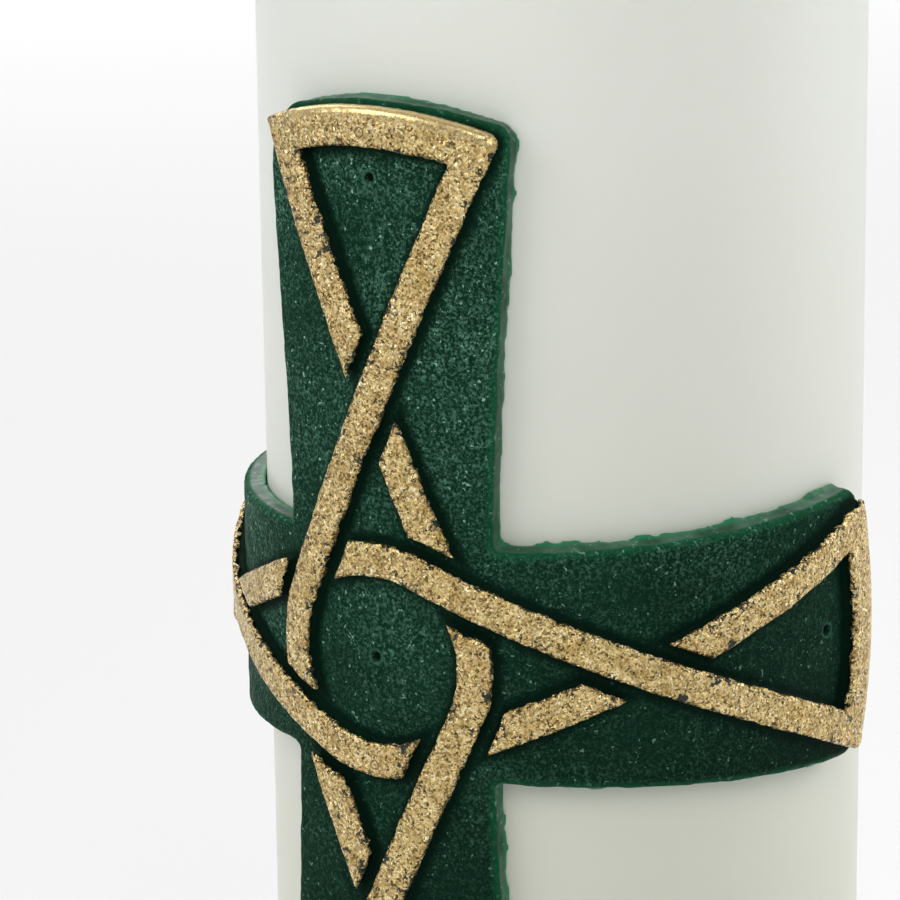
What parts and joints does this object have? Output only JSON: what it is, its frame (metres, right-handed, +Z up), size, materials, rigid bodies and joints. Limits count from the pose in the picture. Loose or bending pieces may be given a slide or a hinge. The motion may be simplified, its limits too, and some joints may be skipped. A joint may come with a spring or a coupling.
{
  "type": "unity candle",
  "caption": "White pillar candle with a raised green wax cross wrapped round its front, gilded with an interlaced knot; stands on its flat base and burns a central wick",
  "frame": {"origin": "middle of the flat base, on the candle's axis", "axes": "+Z up along the candle's axis; the middle of the cross faces -Y; +X is to the right of someone who looks at the cross"},
  "size_m": [0.09, 0.085, 0.2633],
  "materials": {
    "core_wax": "white candle wax, translucent",
    "dip_wax": "smooth white overdip wax, soft sheen, translucent",
    "cotton": "braided, wax-primed cotton",
    "tinned_steel": "bright tinned sheet",
    "adhesive_wax": "tacky wax adhesive",
    "green_wax": "dark green cast wax, granular matte face",
    "gilt": "gold flake coat, grainy and glittering"
  },
  "bodies": {
    "root": {"core": "core_wax", "overdip_shell": "dip_wax", "wick": "cotton", "wick_sustainer": "tinned_steel", "adhesive_film": "adhesive_wax", "cross_plaque": "green_wax", "gilt_loop_north": "gilt", "gilt_loop_east": "gilt", "gilt_loop_south": "gilt", "gilt_loop_west": "gilt", "gilt_link_north": "gilt", "gilt_link_east": "gilt", "gilt_link_south": "gilt", "gilt_link_west": "gilt"}
  },
  "joints": []
}
